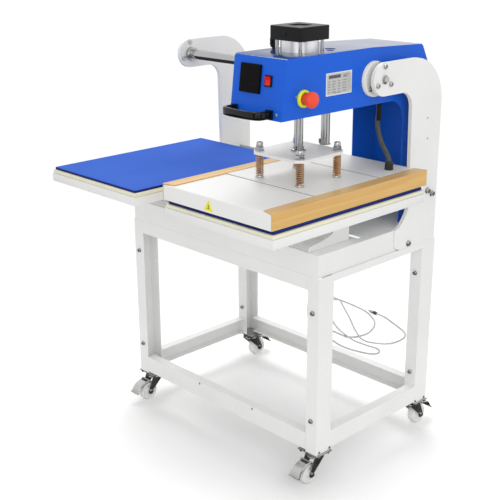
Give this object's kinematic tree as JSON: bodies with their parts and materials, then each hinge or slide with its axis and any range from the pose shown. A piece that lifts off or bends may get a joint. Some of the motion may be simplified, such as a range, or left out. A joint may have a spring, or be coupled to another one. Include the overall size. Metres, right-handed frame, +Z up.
{
  "type": "double-station pneumatic heat press",
  "caption": "Wheeled two-bed textile press: a blue head on a cross shaft slides over padded beds and a sprung platen lifts.",
  "frame": {"origin": "on the floor under the middle of the machine's footprint, without the air hose", "axes": "+X to the operator's right along the cross shaft, +Y from the operator towards the back, +Z up"},
  "size_m": [1.1119, 1.4155, 1.286],
  "materials": {
    "powder_coat_white": "satin powder coat",
    "powder_coat_blue": "satin powder coat",
    "hard_chrome": "polished",
    "zinc_plate": "zinc plated",
    "white_nylon": "satin",
    "black_plastic": "satin",
    "red_plastic": "gloss",
    "lime_plastic": "gloss",
    "cast_aluminium": "satin",
    "ochre_laminate": "satin laminate",
    "spring_brown": "oil-tempered",
    "cream_silicone": "matt",
    "blue_fabric": "woven, coated",
    "dark_heater": "dark coated",
    "grey_hose": "satin"
  },
  "bodies": {
    "base": {"stand_side_frame_left": "powder_coat_white", "stand_side_frame_right": "powder_coat_white", "stand_rail_top_front": "powder_coat_white", "stand_rail_top_rear": "powder_coat_white", "stand_rail_bottom_front": "powder_coat_white", "stand_rail_bottom_rear": "powder_coat_white", "base_tray": "powder_coat_white", "side_plate_left": "powder_coat_white", "side_plate_right": "powder_coat_white", "bed_post_left": "powder_coat_white", "bed_post_right": "powder_coat_white", "bed_pan_left": "powder_coat_white", "bed_pan_right": "powder_coat_white", "caster_plate_front_left": "zinc_plate", "caster_plate_front_right": "zinc_plate", "caster_plate_rear_left": "zinc_plate", "caster_plate_rear_right": "zinc_plate", "main_shaft": "hard_chrome", "lower_guide_rod": "hard_chrome", "silicone_pad_left": "cream_silicone", "silicone_pad_right": "cream_silicone", "pad_cover_left": "blue_fabric", "pad_cover_right": "blue_fabric", "air_hose": "grey_hose", "hose_connector": "zinc_plate"},
    "head": {"head_housing": "powder_coat_blue", "shaft_bearing_left": "powder_coat_white", "shaft_bearing_right": "powder_coat_white", "controller": "black_plastic", "estop_collar": "lime_plastic", "pull_handle": "black_plastic", "cylinder_body": "cast_aluminium", "cylinder_top_cap": "black_plastic"},
    "press": {"piston_rod": "hard_chrome", "press_guide_rod": "hard_chrome", "pressure_plate": "powder_coat_white", "platen_cover": "powder_coat_white", "heating_plate": "dark_heater", "side_guard_left": "ochre_laminate", "side_guard_right": "ochre_laminate", "heater_conduit": "black_plastic", "platen_spring_bolt_1": "spring_brown", "platen_spring_bolt_2": "spring_brown", "platen_spring_bolt_3": "spring_brown", "platen_spring_bolt_4": "spring_brown"},
    "estop": {"estop_button": "red_plastic"},
    "switch": {"power_switch": "red_plastic"},
    "regulator": {"regulator_knob": "black_plastic"},
    "swivel_front_left": {"caster_fork_front_left": "zinc_plate"},
    "wheel_front_left": {"caster_wheel_front_left": "white_nylon"},
    "brake_front_left": {"caster_brake_front_left": "zinc_plate"},
    "swivel_front_right": {"caster_fork_front_right": "zinc_plate"},
    "wheel_front_right": {"caster_wheel_front_right": "white_nylon"},
    "brake_front_right": {"caster_brake_front_right": "zinc_plate"},
    "swivel_rear_left": {"caster_fork_rear_left": "zinc_plate"},
    "wheel_rear_left": {"caster_wheel_rear_left": "white_nylon"},
    "brake_rear_left": {"caster_brake_rear_left": "zinc_plate"},
    "swivel_rear_right": {"caster_fork_rear_right": "zinc_plate"},
    "wheel_rear_right": {"caster_wheel_rear_right": "white_nylon"},
    "brake_rear_right": {"caster_brake_rear_right": "zinc_plate"}
  },
  "joints": [
    {"name": "head_slide", "type": "slide", "parent": "base", "child": "head", "axis": [1, 0, 0], "range_m": [-0.539, 0]},
    {"name": "platen_press", "type": "slide", "parent": "head", "child": "press", "axis": [0, 0, 1], "range_m": [0, 0.08]},
    {"name": "estop_press", "type": "slide", "parent": "head", "child": "estop", "axis": [-1, 0, 0], "range_m": [0, 0.005], "stiffness_N_per_m": 800},
    {"name": "power_rocker", "type": "hinge", "parent": "head", "child": "switch", "pos_m": [0.3065, -0.26292, 1.16245], "axis": [1, 0, 0], "range_deg": [-7, 7]},
    {"name": "regulator_turn", "type": "hinge", "parent": "head", "child": "regulator", "pos_m": [0.197, -0.12625, 1.225], "axis": [0, 0, 1], "range_deg": [-150, 150]},
    {"name": "caster_swivel_front_left", "type": "hinge", "parent": "base", "child": "swivel_front_left", "pos_m": [-0.369, -0.13025, 0.09], "axis": [0, 0, 1], "continuous": true},
    {"name": "caster_roll_front_left", "type": "hinge", "parent": "swivel_front_left", "child": "wheel_front_left", "pos_m": [-0.369, -0.16025, 0.031], "axis": [1, 0, 0], "continuous": true},
    {"name": "brake_pedal_front_left", "type": "hinge", "parent": "swivel_front_left", "child": "brake_front_left", "pos_m": [-0.369, -0.16425, 0.0705], "axis": [1, 0, 0], "range_deg": [0, 10]},
    {"name": "caster_swivel_front_right", "type": "hinge", "parent": "base", "child": "swivel_front_right", "pos_m": [0.369, -0.13025, 0.09], "axis": [0, 0, 1], "continuous": true},
    {"name": "caster_roll_front_right", "type": "hinge", "parent": "swivel_front_right", "child": "wheel_front_right", "pos_m": [0.369, -0.16025, 0.031], "axis": [1, 0, 0], "continuous": true},
    {"name": "brake_pedal_front_right", "type": "hinge", "parent": "swivel_front_right", "child": "brake_front_right", "pos_m": [0.369, -0.16425, 0.0705], "axis": [1, 0, 0], "range_deg": [0, 10]},
    {"name": "caster_swivel_rear_left", "type": "hinge", "parent": "base", "child": "swivel_rear_left", "pos_m": [-0.369, 0.32775, 0.09], "axis": [0, 0, 1], "continuous": true},
    {"name": "caster_roll_rear_left", "type": "hinge", "parent": "swivel_rear_left", "child": "wheel_rear_left", "pos_m": [-0.369, 0.35775, 0.031], "axis": [1, 0, 0], "continuous": true},
    {"name": "brake_pedal_rear_left", "type": "hinge", "parent": "swivel_rear_left", "child": "brake_rear_left", "pos_m": [-0.369, 0.36175, 0.0705], "axis": [1, 0, 0], "range_deg": [-10, 0]},
    {"name": "caster_swivel_rear_right", "type": "hinge", "parent": "base", "child": "swivel_rear_right", "pos_m": [0.369, 0.32775, 0.09], "axis": [0, 0, 1], "continuous": true},
    {"name": "caster_roll_rear_right", "type": "hinge", "parent": "swivel_rear_right", "child": "wheel_rear_right", "pos_m": [0.369, 0.35775, 0.031], "axis": [1, 0, 0], "continuous": true},
    {"name": "brake_pedal_rear_right", "type": "hinge", "parent": "swivel_rear_right", "child": "brake_rear_right", "pos_m": [0.369, 0.36175, 0.0705], "axis": [1, 0, 0], "range_deg": [-10, 0]}
  ]
}
